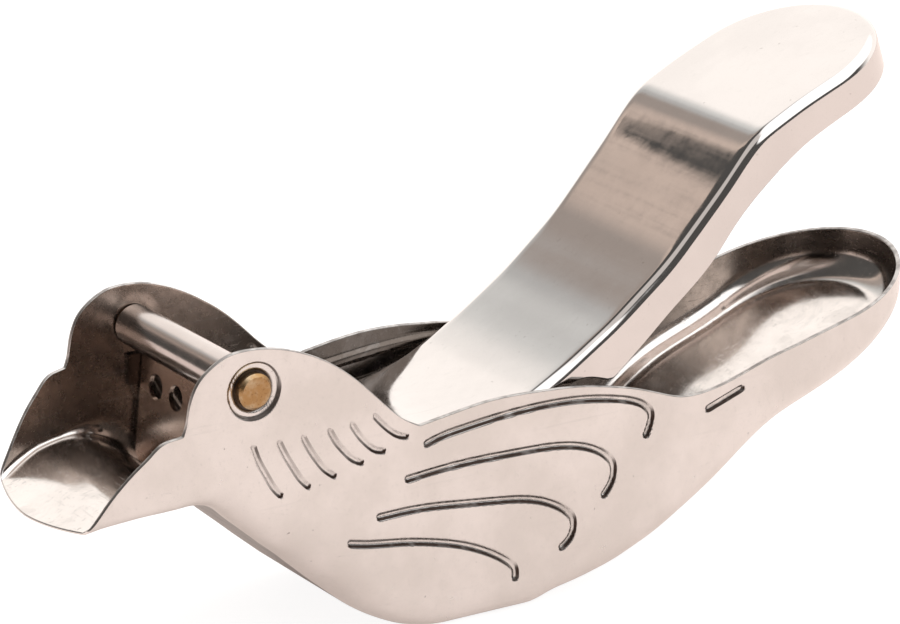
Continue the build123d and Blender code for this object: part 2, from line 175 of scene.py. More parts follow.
# ---- curves ------------------------------------------------------------------
def spline(points, start=None, end=None, per=24):
    """cubic curve through points, densely sampled; natural ends unless a direction is given"""
    points = np.array(points, float)
    count = len(points)
    step = np.hypot(*np.diff(points, axis=0).T)
    slope = np.diff(points, axis=0) / step[:, None]
    matrix, target = np.zeros((count, count)), np.zeros((count, 2))
    matrix[0, 0] = matrix[-1, -1] = 1.0
    for i in range(1, count - 1):
        matrix[i, i - 1:i + 2] = step[i - 1], 2 * (step[i - 1] + step[i]), step[i]
        target[i] = 6 * (slope[i] - slope[i - 1])
    if start is not None:
        matrix[0, :2] = 2 * step[0], step[0]
        target[0] = 6 * (slope[0] - np.array(start, float) / np.hypot(*start))
    if end is not None:
        matrix[-1, -2:] = step[-1], 2 * step[-1]
        target[-1] = 6 * (np.array(end, float) / np.hypot(*end) - slope[-1])
    bend = np.linalg.solve(matrix, target)
    pieces = []
    for i, size in enumerate(step):
        done = np.linspace(0, size, per, endpoint=i == count - 2)[:, None]
        left = size - done
        pieces.append(bend[i] * left ** 3 / (6 * size) + bend[i + 1] * done ** 3 / (6 * size)
                      + (points[i] / size - bend[i] * size / 6) * left
                      + (points[i + 1] / size - bend[i + 1] * size / 6) * done)
    return np.concatenate(pieces)


def parallel(curve, amount):
    """the curve moved to the left of its direction of travel, without doubling back"""
    run = np.gradient(curve, axis=0)
    normal = np.stack([-run[:, 1], run[:, 0]], 1) / np.hypot(run[:, 0], run[:, 1])[:, None]
    moved = curve + normal * amount
    keep = np.concatenate([[True], np.diff(np.maximum.accumulate(moved[:, 0])) > 1e-9])
    return moved[keep]


def height(curve):
    return lambda x: np.interp(x, curve[:, 0], curve[:, 1])


def smoothed(values, kernel):
    return np.convolve(np.pad(values, len(kernel) // 2, "edge"), kernel, "valid")


def stretch(curve):
    """length of the curve per unit of x"""
    run = np.gradient(curve, axis=0)
    ratio = np.hypot(run[:, 0], run[:, 1]) / np.maximum(run[:, 0], 1e-6)
    ratio = smoothed(ratio, np.ones(25) / 25)
    return lambda x: np.interp(x, curve[:, 0], ratio)


def arc_lengths(path):
    return np.concatenate([[0], np.cumsum(np.linalg.norm(np.diff(path, axis=0), axis=1))])


def point_at(path, distance):
    lengths = arc_lengths(path)
    return np.stack([np.interp(distance, lengths, path[:, k]) for k in range(3)], axis=-1)


def even(curve, step, first, last):
    """x values along a curve at even arc length"""
    z_at = height(curve)
    inner = curve[(curve[:, 0] > first) & (curve[:, 0] < last)]
    curve = np.vstack([[first, z_at(first)], inner, [last, z_at(last)]])
    lengths = arc_lengths(curve)
    marks = np.linspace(0, lengths[-1], max(2, int(lengths[-1] / step) + 1))
    return np.interp(marks, lengths, curve[:, 0])


def ease(t):
    t = np.clip(t, 0, 1)
    return t * t * (3 - 2 * t)


TROUGH = np.vstack([spline(BOTTOM_FRONT, end=(1, 0)), spline(BOTTOM_BACK, start=(1, 0))])
RIM = np.vstack([[(-70.0, -20.35), (-28.3, -20.37)], spline(BEAK_EDGE), spline(HEAD_EDGE)[1:],
                 spline(WING_EDGE)[1:]])
LEVER = spline(LEVER_TOP)
FLANGE = np.vstack([spline(FLANGE_FRONT), spline(FLANGE_BACK)])


# ---- skins of a bent-up sheet --------------------------------------------------
def fillet(radius, count=30):
    """distance in from the wall and height over the floor, from wall to floor"""
    turn = np.linspace(0, math.pi / 2, count)
    return radius * (1 - np.cos(turn)), radius * (1 - np.sin(turn))


def with_wall(bend, up, rise):
    """a path that comes straight down a wall and then follows its bend"""
    return np.vstack([(bend[:1] + up * rise)[:-1], bend])


def skin(paths, floors, rim, wall_steps, floor_steps):
    """grid of points over one side of the sheet, and its points on the cut line. Each path
    runs down the near wall and its bend; rim is the cut line of the walls; floors gives the
    x and z of the floor for a y, or None where it is level across"""
    starts, edge = [], []
    for path in paths:
        above = path[:, 2] - rim(path[:, 0])
        i = int(np.argmax(above < 0))
        lengths = arc_lengths(path)
        share = above[i - 1] / (above[i - 1] - above[i])
        starts.append(lengths[i - 1] + share * (lengths[i] - lengths[i - 1]))
        edge.append(point_at(path, starts[-1]))
    edge = np.array(edge)
    run = np.gradient(edge, axis=0)
    run /= np.linalg.norm(run, axis=1)[:, None] + 1e-12
    rows = []
    for k, path in enumerate(paths):
        down = point_at(path, starts[k] + 0.2) - edge[k]
        down /= np.linalg.norm(down) + 1e-12
        across = np.linalg.norm(np.cross(run[k], down))
        marks = np.linspace(starts[k] + ROUND / max(0.2, across), arc_lengths(path)[-1],
                            wall_steps + 1)
        near = point_at(path, marks)
        y = near[-1, 1] * (1 - 2 * np.arange(1, floor_steps) / floor_steps)
        if floors[k] is None:
            x, z = np.full_like(y, near[-1, 0]), np.full_like(y, near[-1, 2])
        else:
            x, z = floors[k](y)
        rows.append(np.vstack([near, np.stack([x, y, z], 1), near[::-1] * MIRROR_Y]))
    return np.array(rows), edge


def sheet_mesh(outside, inside):
    """closed mesh between two sides of a sheet, with a rounded edge between them. Each side
    is its grid, near cut line and far cut line (the last given on the near side)"""
    rows, cols = outside[0].shape[:2]
    loop = ([(i, 0) for i in range(rows - 1, -1, -1)] + [(0, j) for j in range(1, cols - 1)]
            + [(i, cols - 1) for i in range(rows)])

    def cut_line(grid, near, far):
        return np.array([near[i] if j == 0 else far[i] * MIRROR_Y if j == cols - 1
                         else grid[i, j] for i, j in loop])

    rim_out, rim_in = cut_line(*outside), cut_line(*inside)
    outer, inner = outside[0].copy(), inside[0].copy()
    for grid in (outer, inner):
        for j in range(cols):
            gap = grid[1, j] - grid[0, j]
            grid[0, j] = grid[0, j] + gap * min(0.5, ROUND / (np.linalg.norm(gap) + 1e-9))
    next_out = np.array([outer[i, j] for i, j in loop])
    next_in = np.array([inner[i, j] for i, j in loop])
    # directions at the cut: across the sheet, and from the cut into the sheet
    across = rim_in - rim_out
    gap = np.linalg.norm(across, axis=1)[:, None]
    across = across / gap
    into = 0.5 * ((next_out - rim_out) + (next_in - rim_in))
    into -= (into * across).sum(1)[:, None] * across
    into /= np.linalg.norm(into, axis=1)[:, None] + 1e-9
    run = np.gradient(rim_out, axis=0)
    run /= np.linalg.norm(run, axis=1)[:, None] + 1e-9
    square = into - (into * run).sum(1)[:, None] * run
    size = np.linalg.norm(square, axis=1)[:, None]
    into = np.where(size > 0.1, square / (size + 1e-9), into)
    corner = np.minimum(ROUND, gap * 0.45)
    part = 0.29 * corner
    rings = [
        rim_out + part * across + part * into,
        rim_out + corner * across,
        rim_out + 0.5 * gap * across,
        rim_in - corner * across,
        rim_in - part * across + part * into,
    ]
    verts = np.vstack([outer.reshape(-1, 3), inner.reshape(-1, 3)] + rings)
    first_inner, first_ring, count = rows * cols, 2 * rows * cols, len(loop)
    i, j = np.meshgrid(np.arange(rows - 1), np.arange(cols - 1), indexing="ij")
    corners = (i * cols + j).ravel()
    quads = np.stack([corners, corners + cols, corners + cols + 1, corners + 1], 1)
    faces = [quads, quads[:, ::-1] + first_inner]
    strips = [np.array([i * cols + j for i, j in loop])]
    strips += [first_ring + k * count + np.arange(count) for k in range(len(rings))]
    strips.append(first_inner + strips[0])
    for one, two in zip(strips, strips[1:]):
        faces.append(np.stack([one[:-1], one[1:], two[1:], two[:-1]], 1))
    faces = np.vstack(faces)
    slots = np.zeros(len(faces), int)
    slots[len(quads):2 * len(quads)] = 1
    return verts, faces, slots


def make_object(name, verts, faces, slots, body, slot, extra=None):
    mesh = bpy.data.meshes.new(name)
    mesh.from_pydata(((verts + PIVOT) * 0.001).tolist(), [], faces.tolist())
    mesh.polygons.foreach_set("material_index", slots.tolist())
    bm = bmesh.new()
    bm.from_mesh(mesh)
    bmesh.ops.remove_doubles(bm, verts=bm.verts, dist=2e-6)
    bmesh.ops.dissolve_degenerate(bm, edges=bm.edges, dist=1e-7)
    bmesh.ops.recalc_face_normals(bm, faces=bm.faces)
    bm.to_mesh(mesh)
    bm.free()
    mesh.polygons.foreach_set("use_smooth", [True] * len(mesh.polygons))
    if extra:
        extra(mesh)
    obj = bpy.data.objects.new(name, mesh)
    scene.collection.objects.link(obj)
    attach(obj, body)
    return obj


# ---- pressed lines -----------------------------------------------------------
def near_line(points, x, z):
    """distance to a curve, and which side of it: 1 below right, -1 above left"""
    curve = spline(points, per=8) if len(points) > 2 else np.array(points, float)
    best, side = np.full(len(x), 1e9), np.zeros(len(x))
    for start, end in zip(curve, curve[1:]):
        run_x, run_z = end - start
        share = (((x - start[0]) * run_x + (z - start[1]) * run_z)
                 / (run_x * run_x + run_z * run_z + 1e-12))
        share = np.clip(share, 0, 1)
        off_x, off_z = x - start[0] - share * run_x, z - start[1] - share * run_z
        dist = np.hypot(off_x, off_z)
        closer = dist < best
        best = np.where(closer, dist, best)
        side = np.where(closer, (0.5 * off_x - 0.87 * off_z) / (dist + 0.05), side)
    return best, side


def pressed(x, z, grow):
    """how far the wall is pressed in at x, z: a steep lower flank and a soft upper one.
    grow widens and softens the lines, for the inside of the sheet"""
    depth = np.zeros(len(x))
    for points, width, deep in LINES:
        low, high = np.min(points, axis=0) - 3, np.max(points, axis=0) + 3
        box = (x > low[0]) & (x < high[0]) & (z > low[1]) & (z < high[1])
        if not box.any():
            continue
        dist, side = near_line(points, x[box], z[box])
        flank = 0.30 + (0.32 + 0.5 * grow) * ease(0.5 - 0.6 * side)
        edge = (width + grow) / 2
        depth[box] = np.maximum(depth[box], deep * ease((edge + 0.1 - dist) / flank))
    radius = np.hypot(x, z)
    if grow == 0:
        eye = (EYE_STEP * ease((EYE_R + 0.1 - radius) / 0.34)
               + EYE_RELIEF * ease((EYE_RELIEF_R + 0.2 - radius) / 0.34))
    else:
        eye = 0.3 * EYE_STEP * ease((EYE_R + 0.9 - radius) / 2.2)
    return np.maximum(depth, eye)


def press(grid, grow):
    flat = grid.reshape(-1, 3).copy()
    wall = (flat[:, 0] < TAIL_X) & (np.abs(flat[:, 1]) > PRESS_Y)
    amount = np.zeros(len(flat))
    amount[wall] = pressed(flat[wall, 0], flat[wall, 2], grow)
    flat[:, 1] -= np.sign(flat[:, 1]) * amount
    return flat.reshape(grid.shape)


# ---- body shell --------------------------------------------------------------
LIP_Y, LIP_SLOPE = BEAK_PLAN[0][1], 0.41    # half width at the lip, and how it widens there
PLAN = np.vstack([[(-52.0, LIP_Y - LIP_SLOPE * (BEAK_PLAN[0][0] + 52.0))],
                  spline(BEAK_PLAN, start=(1, LIP_SLOPE), end=(1, 0)), [(200.0, BODY_HALF)]])
half_width = height(PLAN)
rim_height = height(RIM)
bends = spline(BEND_RADII)
bends[:, 1] = np.clip(bends[:, 1], BEAK_BEND_R, MAX_BEND_R)
bend_radius = height(bends)
lift_x = np.linspace(-60, 200, 2000)
lift_kernel = np.hanning(43)[1:-1]
lift_z = smoothed(np.interp(lift_x, *zip(*LIFTS)), lift_kernel / lift_kernel.sum())

WALL_STEPS, FLOOR_STEPS = 150, 30
WALL_RISE = np.linspace(70, 0, 200)[:, None]
shell_x = even(RIM, 0.38, BEAK_X, TAIL_X)[1:]
shell_lip = np.linspace(1, 0, 13)           # 1 on the lip, 0 at BEAK_X
shell_turn = np.linspace(0, math.pi / 2, 84)[1:]


def lip_x(share, y):
    lip = LIP_X - LIP_BULGE * (1 - np.abs(y / LIP_Y) ** 1.7)
    return BEAK_X + share * (lip - BEAK_X)


def far_rim(x):
    return rim_height(x) + np.interp(x, *zip(*FAR_TRIM))


def shell_paths(inset):
    curve = parallel(TROUGH, inset) if inset else TROUGH
    lift = np.interp(curve[:, 0], lift_x, lift_z)
    if inset:
        lift = lift - 0.4 * ease((-23.0 - curve[:, 0]) / 6.0)     # thicker floor in the beak
    curve = curve + np.stack([0 * curve[:, 0], lift], 1)
    floor_z, slope_at = height(curve), stretch(curve)
    paths, floors = [], []

    def add(x, y, slope, rise, floor_line=None):
        bend = np.stack([x, -y, floor_z(x) + slope * rise], 1)
        paths.append(with_wall(bend, np.array([0, 0, 1]), WALL_RISE))
        floors.append(floor_line)

    def bend_at(x):
        half = float(half_width(x)) - inset
        inward, rise = fillet(float(bend_radius(x)) - inset)
        slant = math.hypot(1, (float(half_width(x + 0.1)) - float(half_width(x - 0.1))) / 0.2)
        return half - inward * slant, rise

    for share in shell_lip:
        y = 16.5                            # first guess; settles on the wall
        for _ in range(40):
            x = lip_x(share, y)
            y = float(half_width(x)) - inset
        bend_y, rise = bend_at(x)
        add(lip_x(share, bend_y), bend_y, float(slope_at(x)), rise,
            lambda y, share=share: (lip_x(share, y), floor_z(lip_x(share, y))))
    for x in shell_x:
        bend_y, rise = bend_at(x)
        add(np.full_like(bend_y, x), bend_y, float(slope_at(x)), rise)
    inward, rise = fillet(BEND_R - inset)
    for angle in shell_turn:
        radius = BODY_HALF - inset - inward
        x = TAIL_X + radius * math.sin(angle)
        add(x, radius * math.cos(angle), slope_at(x), rise)
    return paths, floors


def shell_side(inset, grow):
    sections = shell_paths(inset)
    grid, near_edge = skin(*sections, rim_height, WALL_STEPS, FLOOR_STEPS)
    far_grid, far_edge = skin(*sections, far_rim, WALL_STEPS, FLOOR_STEPS)
    grid[:, -(WALL_STEPS + 1):] = far_grid[:, -(WALL_STEPS + 1):]
    return press(grid, grow), near_edge, far_edge


def mark_lines(mesh):
    """keeps the distance to the pressed lines, the eye and the rim with the mesh, for the soil
    and painted shade
    """
    flat = np.zeros(len(mesh.vertices) * 3, np.float32)
    mesh.vertices.foreach_get("co", flat)
    x, y, z = (flat.reshape(-1, 3) * 1000 - PIVOT).T
    dist, below = np.full(len(x), 9.0), np.zeros(len(x))
    wall = np.abs(y) > PRESS_Y
    for points, width, _ in LINES:
        to_line, side = near_line(points, x[wall], z[wall])
        to_line = to_line - width / 2
        old = dist[wall]
        dist[wall] = np.minimum(old, to_line)
        below[wall] = np.where(to_line < old, side, below[wall])
    eye = np.hypot(x, z)
    for name, value in (("line", dist), ("below", below), ("eye", eye),
                        ("eye_low", (0.6 * x - 0.8 * z) / (eye + 0.01)),
                        ("rim", rim_height(x) - z)):
        layer = mesh.attributes.new(name, "FLOAT", "POINT")
        layer.data.foreach_set("value", np.asarray(value, np.float32))


shell_mesh = sheet_mesh(shell_side(0.0, grow=0.0), shell_side(BODY_SHEET, grow=0.8))
shell = make_object("shell_skin", *shell_mesh, "body", "body_steel", mark_lines)
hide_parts("body_shell")


# ---- lever, built upside down so that its walls rise like the body's ----------------
def on_handle(x, z):
    """distance along the tilted handle and out of it"""
    return ((x - HANDLE_X) * HANDLE_COS + (z - HANDLE_Z) * HANDLE_SIN,
            -(x - HANDLE_X) * HANDLE_SIN + (z - HANDLE_Z) * HANDLE_COS)


FLANGE_RISE = np.linspace(28, 0, 160)[:, None]
lever_end = float(np.interp(-HANDLE_HALF, on_handle(*LEVER.T)[0], LEVER[:, 0]))
lever_x = even(LEVER, 0.45, 3.1, lever_end)
lever_turn = np.linspace(0, math.pi / 2, 60)[1:]


def lever_paths(inset):
    curve = LEVER * [1, -1]
    if inset:
        curve = parallel(curve, inset)
    floor_z = height(curve)
    inward, rise = fillet(LEVER_BEND_R - inset, 16)
    curve_along, curve_out = on_handle(curve[:, 0], -curve[:, 1])
    paths = []
    for x in lever_x:
        z = float(floor_z(x))
        slope = (float(floor_z(x + 0.2)) - float(floor_z(x - 0.2))) / 0.4
        lean = HANDLE_TILT * float(ease((x - LEAN_X) / LEAN_RUN))
        steep = 1 / max(0.3, math.cos(math.atan(-slope) - lean))
        up = np.array([math.sin(lean), 0, math.cos(lean)])
        flare = LEVER_FLARE * float(ease((on_handle(x, -z)[0] - FLARE_U) / FLARE_RUN))
        half = LEVER_HALF + flare - inset
        bend = np.stack([np.full_like(inward, x), -(half - inward), np.full_like(inward, z)], 1)
        paths.append(with_wall(bend + up * (steep * rise)[:, None], up, FLANGE_RISE))
    up = np.array([HANDLE_SIN, 0, HANDLE_COS])
    radius = HANDLE_HALF - inset - inward
    for angle in lever_turn:
        along = -HANDLE_HALF + radius * math.sin(angle)
        out = np.interp(along, curve_along, curve_out) - rise
        bend = np.stack([HANDLE_X + along * HANDLE_COS - out * HANDLE_SIN,
                         -radius * math.cos(angle),
                         -(HANDLE_Z + along * HANDLE_SIN + out * HANDLE_COS)], 1)
        paths.append(with_wall(bend, up, FLANGE_RISE))
    return paths


def lever_side(inset):
    paths = lever_paths(inset)
    grid, edge = skin(paths, [None] * len(paths), height(FLANGE * [1, -1]), 46, 34)
    return grid, edge, edge


verts, faces, slots = sheet_mesh(lever_side(0.0), lever_side(LEVER_SHEET))
# between the two flanges the front edge of the top reaches the sleeve
reach = (np.clip((4.6 - verts[:, 0]) / 1.2, 0, 1)
         * np.clip((17.0 - np.abs(verts[:, 1])) / 1.4, 0, 1))
verts = verts + reach[:, None] * np.array([-0.45, 0.0, -0.25])
lever = make_object("lever_skin", verts * MIRROR_Z, faces, slots, "lever_arm", "lever_steel")
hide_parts("lever")


# ---- node trees ----------------------------------------------------------------
class Nodes:
    """short hand for building the node tree of a material or world"""

    def __init__(self, owner):
        owner.use_nodes = True
        self.tree = owner.node_tree
        self.tree.nodes.clear()

    def feed(self, socket, value):
        if isinstance(value, bpy.types.NodeSocket):
            self.tree.links.new(value, socket)
        else:
            socket.default_value = (*value, 1.0) if socket.type == "RGBA" else value

    def node(self, kind, *values, **named):
        """values fill the inputs in order; named ones by name, with _ for a space"""
        node = self.tree.nodes.new(kind)
        for socket, value in zip(node.inputs, values):
            self.feed(socket, value)
        for name, value in named.items():
            self.feed(node.inputs[name.replace("_", " ")], value)
        return node

    def math(self, operation, one, two=0.0):
        node = self.node("ShaderNodeMath", one, two, 0.0)
        node.operation = operation
        return node.outputs[0]

    def add(self, one, two):
        return self.math("ADD", one, two)

    def multiply(self, first, *others):
        for other in others:
            first = self.math("MULTIPLY", first, other)
        return first

    def largest(self, first, *others):
        for other in others:
            first = self.math("MAXIMUM", first, other)
        return first

    def ramp(self, value, start, end, low=0.0, high=1.0):
        """smooth step from low at start to high at end"""
        node = self.node("ShaderNodeMapRange", Value=value, From_Min=start, From_Max=end,
                         To_Min=low, To_Max=high)
        node.interpolation_type = "SMOOTHSTEP"
        return node.outputs[0]

    def band(self, value, rise, fall):
        return self.multiply(self.ramp(value, *rise), self.ramp(value, *fall))

    def mix(self, factor, one, two):
        node = self.tree.nodes.new("ShaderNodeMix")
        node.data_type = "RGBA"
        for index, value in ((0, factor), (6, one), (7, two)):
            self.feed(node.inputs[index], value)
        return node.outputs[2]

    def cover(self, colour, mask, amount, coat):
        return self.mix(self.multiply(mask, amount), colour, coat)

    def noise(self, vector, scale=1.0, detail=2.0, rough=0.6, distortion=0.0):
        return self.node("ShaderNodeTexNoise", Vector=vector, Scale=scale, Detail=detail,
                         Roughness=rough, Distortion=distortion).outputs[0]

    def mapping(self, vector, scale, rotation=(0, 0, 0)):
        return self.node("ShaderNodeMapping", Vector=vector, Scale=scale,
                         Rotation=rotation).outputs[0]

    def axes(self, vector):
        return self.node("ShaderNodeSeparateXYZ", Vector=vector).outputs

    def attribute(self, name):
        node = self.tree.nodes.new("ShaderNodeAttribute")
        node.attribute_name = name
        return node.outputs["Fac"]

    def bump(self, relief, strength, distance):
        return self.node("ShaderNodeBump", Height=relief, Strength=strength, Distance=distance)


def darker(colour, factor):
    return tuple(c * factor for c in colour)


def put(obj, *materials):
    index = [face.material_index for face in obj.data.polygons]
    obj.data.materials.clear()
    for material in materials:
        obj.data.materials.append(material)
    obj.data.polygons.foreach_set("material_index", [min(i, len(materials) - 1) for i in index])


# ---- metals: noise scales are per metre; masks run from 0 to 1 -----------------------
def start_metal(name):
    material = bpy.data.materials.new(name)
    nodes = Nodes(material)
    output = nodes.node("ShaderNodeOutputMaterial")
    metal = nodes.node("ShaderNodeBsdfPrincipled", Metallic=1.0)
    nodes.feed(output.inputs[0], metal.outputs[0])
    return material, nodes, metal, nodes.node("ShaderNodeTexCoord").outputs["Object"]


def finish_metal(nodes, metal, colour, roughness, bump):
    nodes.feed(metal.inputs["Base Color"], colour)
    nodes.feed(metal.inputs["Roughness"], roughness)
    nodes.feed(metal.inputs["Normal"], bump.outputs[0])


def soil_and_shade_mask(nodes, mottle):
    """soil and painted shade along the pressed lines, around the eye and on the rim, by mm"""
    line = nodes.attribute("line")
    below = nodes.attribute("below")
    # painted shade: a dark line on the lower flank of each pressed line and a thinner one along
    # its upper edge; bed: mottled darkening in the bottom of the lines
    low = nodes.multiply(nodes.band(line, rise=(-0.34, -0.16), fall=(0.24, 0.12)),
                         nodes.ramp(below, start=-0.25, end=0.35),
                         nodes.ramp(mottle, start=0.28, end=0.5, low=0.85))
    high = nodes.multiply(nodes.band(line, rise=(-0.30, -0.1), fall=(0.16, 0.0)),
                          nodes.ramp(below, start=0.1, end=-0.5),
                          nodes.ramp(mottle, start=0.4, end=0.62, low=0.1, high=0.4))
    bed = nodes.multiply(nodes.ramp(line, start=-0.05, end=-0.3),
                         nodes.ramp(mottle, start=0.35, end=0.65, low=0.04, high=0.22))
    soil_and_shade = nodes.largest(low, high, bed)
    # painted shade: dark in the gap round the pin and along the outline of the eye, thickest on
    # its lower right
    eye = nodes.attribute("eye")
    ring = nodes.band(eye, rise=(2.9, 3.1), fall=(4.0, 3.5))
    thin = nodes.band(eye, rise=(EYE_R - 0.28, EYE_R - 0.12), fall=(EYE_R + 0.2, EYE_R + 0.02))
    ring = nodes.largest(nodes.multiply(ring, 0.92), nodes.multiply(thin, 0.8))
    eye_low = nodes.attribute("eye_low")
    thick = nodes.band(eye, rise=(EYE_R - 0.5, EYE_R - 0.3), fall=(EYE_R + 0.34, EYE_R + 0.18))
    thick = nodes.multiply(thick, nodes.ramp(eye_low, start=0.1, end=0.75, high=0.92))
    soil_and_shade = nodes.largest(soil_and_shade, ring, thick)
    # a darker rim: mottled burred dots, and painted shade that dims the highlight of its
    # rounding
    rim = nodes.attribute("rim")
    rim_dots_and_shade = nodes.multiply(nodes.ramp(rim, start=0.22, end=0.08),
                          nodes.ramp(mottle, start=0.40, end=0.62, low=0.3, high=0.6))
    return nodes.largest(soil_and_shade, rim_dots_and_shade)


def hair_mask(nodes, place, amount):
    """patches of fine crossing hairlines"""
    hair = nodes.noise(nodes.mapping(place, (220, 2600, 2600), (0.0, 0.0, 0.5)))
    cross = nodes.noise(nodes.mapping(place, (2600, 180, 2600), (0.0, 0.0, 0.25)))
    hairs = nodes.largest(nodes.ramp(hair, start=0.64, end=0.70),
                          nodes.ramp(cross, start=0.66, end=0.72))
    patch = nodes.ramp(nodes.noise(place, scale=120.0, rough=0.5), start=0.40, end=0.62)
    return nodes.multiply(hairs, patch, amount)


def steel(name, tint, tint_b, rough, speck=0.5, scratch=0.35, with_soil_and_shade=False, grain=(30, 900, 900),
          relief=0.4, wave=0.0, wall_shade_tint=None, stain=0.0, shade=0.0, streak=0.0,
          bright_end=None, shadow_edge=0.0):
    """pressed stainless sheet: cloudy tint, specks, fine scratches, uneven polish.
    grain: scratch noise scale per axis; relief: strength of the fine bump; wave: waviness
    of the sheet in metres; wall_shade_tint: painted shade, the inside walls darker than the
    floor;
    shade: painted shade, dark grazing undersides; bright_end: painted light, a lighter colour
    toward +X; seam: painted shadow beyond this y in metres; dirt: soil and painted shade"""
    material, nodes, metal, place = start_metal(name)
    cloud = nodes.noise(place, scale=55.0, detail=4.0)
    mottle = nodes.noise(place, scale=420.0, detail=3.0)
    fine = nodes.noise(place, scale=2600.0)
    pits = nodes.noise(place, scale=900.0, detail=1.0, rough=0.5)
    scratches = nodes.noise(nodes.mapping(place, grain))
    cross_grain = (grain[1] * 0.8, grain[0], grain[1] * 0.8)
    polish = nodes.noise(nodes.mapping(place, cross_grain, (0.3, 0.5, 0.9)), rough=0.55)
    colour = nodes.mix(nodes.ramp(cloud, start=0.35, end=0.65), tint, tint_b)
    normal = nodes.node("ShaderNodeNewGeometry").outputs["Normal"]
    if wall_shade_tint is not None:
        # painted shade: the walls are darker than the floor that faces up, with a painted shadow
        # darkest along the middle of the length; the floor keeps the plain tint away from the
        # pressed lines
        upward = nodes.axes(normal)[2]
        shaded_walls = nodes.mix(nodes.ramp(mottle, start=0.3, end=0.7), wall_shade_tint,
                         darker(wall_shade_tint, 0.72))
        length = nodes.axes(place)[0]
        shadow_band = nodes.band(length, rise=(-0.034, -0.020), fall=(0.074, 0.060))
        shaded_walls = nodes.cover(shaded_walls, shadow_band, 0.9, darker(wall_shade_tint, 0.22))
        clear = nodes.ramp(nodes.attribute("line"), start=0.7, end=1.3)
        lit_floor = nodes.multiply(nodes.ramp(upward, start=0.06, end=0.36), clear)
        colour = nodes.mix(lit_floor, shaded_walls, colour)
    else:
        # painted shade: undersides seen at a grazing angle go dark and lose their sheen
        upward = nodes.axes(normal)[2]
        facing = nodes.node("ShaderNodeLayerWeight", Blend=0.5).outputs["Facing"]
        grazing = nodes.ramp(facing, start=0.86, end=0.95)
        under = nodes.multiply(grazing, nodes.ramp(upward, start=-0.12, end=-0.4), shade)
        colour = nodes.mix(under, colour, (0.09, 0.075, 0.068))
        nodes.feed(metal.inputs["Specular Tint"],
                   nodes.mix(under, (1.0, 1.0, 1.0), (0.12, 0.10, 0.09)))
    if stain:
        blot = nodes.noise(place, scale=160.0, detail=5.0, rough=0.7, distortion=0.6)
        colour = nodes.cover(colour, nodes.ramp(blot, start=0.50, end=0.66), stain,
                             darker(tint, 0.45))
    if bright_end is not None:
        # painted light: lighter toward +X
        along = nodes.axes(place)[0]
        colour = nodes.mix(nodes.ramp(along, start=0.040, end=0.054), colour, bright_end)
    if shadow_edge:
        # painted shadow: dark toward the sides, where the plate meets the walls
        across = nodes.math("ABSOLUTE", nodes.axes(place)[1])
        edge = nodes.ramp(across, start=shadow_edge - 0.0004, end=shadow_edge + 0.0002)
        colour = nodes.cover(colour, edge, 0.93, (0.05, 0.038, 0.032))
    # specks, dark pits and scratches over the tint
    for mask, start, end, amount, coat in (
            (fine, 0.60, 0.72, speck * 0.5, darker(tint, 0.62)),
            (pits, 0.765, 0.80, speck, (0.16, 0.13, 0.12)),
            (scratches, 0.63, 0.73, scratch * 0.4, darker(tint, 0.7))):
        colour = nodes.cover(colour, nodes.ramp(mask, start, end), amount, coat)
    if streak:
        hairs = hair_mask(nodes, place, streak)
    # uneven polish: both noises swing the roughness by 0.12
    roughness = nodes.add(nodes.multiply(mottle, 0.12), rough - 0.06)
    swing = nodes.multiply(nodes.math("SUBTRACT", polish, 0.5), 0.12)
    roughness = nodes.add(roughness, swing)
    if wall_shade_tint is not None:
        walls = nodes.math("SUBTRACT", 1.0, lit_floor)
        roughness = nodes.add(roughness, nodes.multiply(walls, 0.13))
    if with_soil_and_shade:
        # soil and painted shade: near black along the pressed lines, round the eye and on the
        # rim
        soil_and_shade = soil_and_shade_mask(nodes, mottle)
        colour = nodes.mix(soil_and_shade, colour, (0.045, 0.032, 0.027))
        roughness = nodes.add(roughness, nodes.multiply(soil_and_shade, 0.25))
    # share of each noise in the fine bump
    surface = nodes.multiply(mottle, 0.35)
    for layer, weight in ((fine, 0.25), (scratches, 0.35), (polish, 0.2)):
        surface = nodes.add(surface, nodes.multiply(layer, weight))
    if streak:
        surface = nodes.add(surface, nodes.multiply(hairs, 1.6))
        roughness = nodes.add(roughness, nodes.multiply(hairs, 0.25))
    bump = nodes.bump(surface, strength=relief, distance=0.00004)
    if wave:
        swell = nodes.noise(place, scale=70.0, rough=0.5)
        ripple = nodes.noise(place, scale=240.0, rough=0.5)
        swell = nodes.add(swell, nodes.multiply(ripple, 0.22))
        broad = nodes.bump(swell, strength=1.0, distance=wave)
        nodes.feed(bump.inputs["Normal"], broad.outputs[0])
    finish_metal(nodes, metal, colour, roughness, bump)
    return material


def brass(name):
    """worn, turned brass"""
    material, nodes, metal, place = start_metal(name)
    cloud = nodes.noise(place, scale=380.0, detail=3.0)
    fine = nodes.noise(place, scale=2400.0, detail=3.0, rough=0.65)
    turning = nodes.noise(nodes.mapping(place, (1500, 200, 1500)), rough=0.5)
    colour = nodes.mix(nodes.ramp(cloud, start=0.35, end=0.65),
                       (0.36, 0.215, 0.095), (0.47, 0.36, 0.23))
    colour = nodes.cover(colour, nodes.ramp(fine, start=0.55, end=0.7), 0.6, (0.20, 0.11, 0.05))
    roughness = nodes.add(nodes.multiply(turning, 0.2), 0.22)
    bump = nodes.bump(nodes.add(fine, cloud), strength=0.45, distance=0.00008)
    finish_metal(nodes, metal, colour, roughness, bump)
    return material


